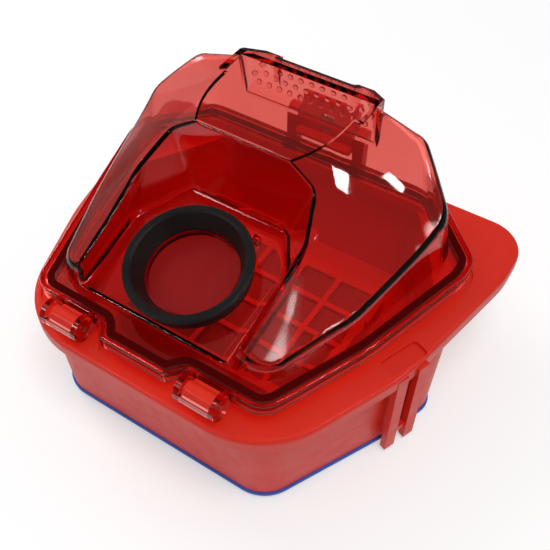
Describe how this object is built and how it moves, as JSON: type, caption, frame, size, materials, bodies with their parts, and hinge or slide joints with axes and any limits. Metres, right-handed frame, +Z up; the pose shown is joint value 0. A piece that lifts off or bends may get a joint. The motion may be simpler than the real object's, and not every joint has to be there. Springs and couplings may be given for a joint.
{
  "type": "cyclone dust bin",
  "caption": "Vacuum cleaner dust bin with an opaque red base, a hinged clear red lid, a tilted rubber inlet ring and a rear latch.",
  "frame": {"origin": "on the floor plane under the feet, on the mirror plane of the lid, 98 mm behind the hinge axis", "axes": "+Z up, +X to the right as seen from the hinge side, -Y towards the hinges and the inlet, +Y towards the latch"},
  "size_m": [0.227, 0.1841, 0.1356],
  "materials": {
    "red_base": "satin",
    "clear_red": "polished",
    "dark_red": "satin",
    "blue_frame": "satin",
    "black_rubber": "matte",
    "pin_steel": "brushed",
    "filter_paper": "matte",
    "foam": "matte",
    "mesh_cloth": "woven"
  },
  "bodies": {
    "base": {"base_tray": "red_base", "filter_frame": "blue_frame", "filter_media": "filter_paper", "filter_gasket": "black_rubber", "foam_pad": "foam", "screen_frame": "red_base", "screen_mesh": "mesh_cloth", "latch_pin": "pin_steel", "latch_spring": "pin_steel", "foot_front_left": "black_rubber", "foot_front_right": "black_rubber", "foot_rear_left": "black_rubber", "foot_rear_right": "black_rubber"},
    "lid": {"lid_dome": "clear_red", "lid_seal": "black_rubber", "inlet_seal": "black_rubber", "flap_pin": "pin_steel", "flap_spring": "pin_steel", "hinge_pin_left": "pin_steel", "hinge_pin_right": "pin_steel"},
    "latch": {"latch_lever": "red_base"},
    "flap": {"inlet_flap": "dark_red"}
  },
  "joints": [
    {"name": "lid_hinge", "type": "hinge", "parent": "base", "child": "lid", "pos_m": [0, -0.098, 0.076], "axis": [1, 0, 0], "range_deg": [0, 90]},
    {"name": "latch_pivot", "type": "hinge", "parent": "base", "child": "latch", "pos_m": [0, 0.0724, 0.088], "axis": [1, 0, 0], "range_deg": [0, 12], "stiffness_Nm_per_rad": 0.2},
    {"name": "flap_pivot", "type": "hinge", "parent": "lid", "child": "flap", "pos_m": [0, -0.02288, 0.08846], "axis": [1, 0, 0], "range_deg": [0, 70], "stiffness_Nm_per_rad": 0.02}
  ]
}
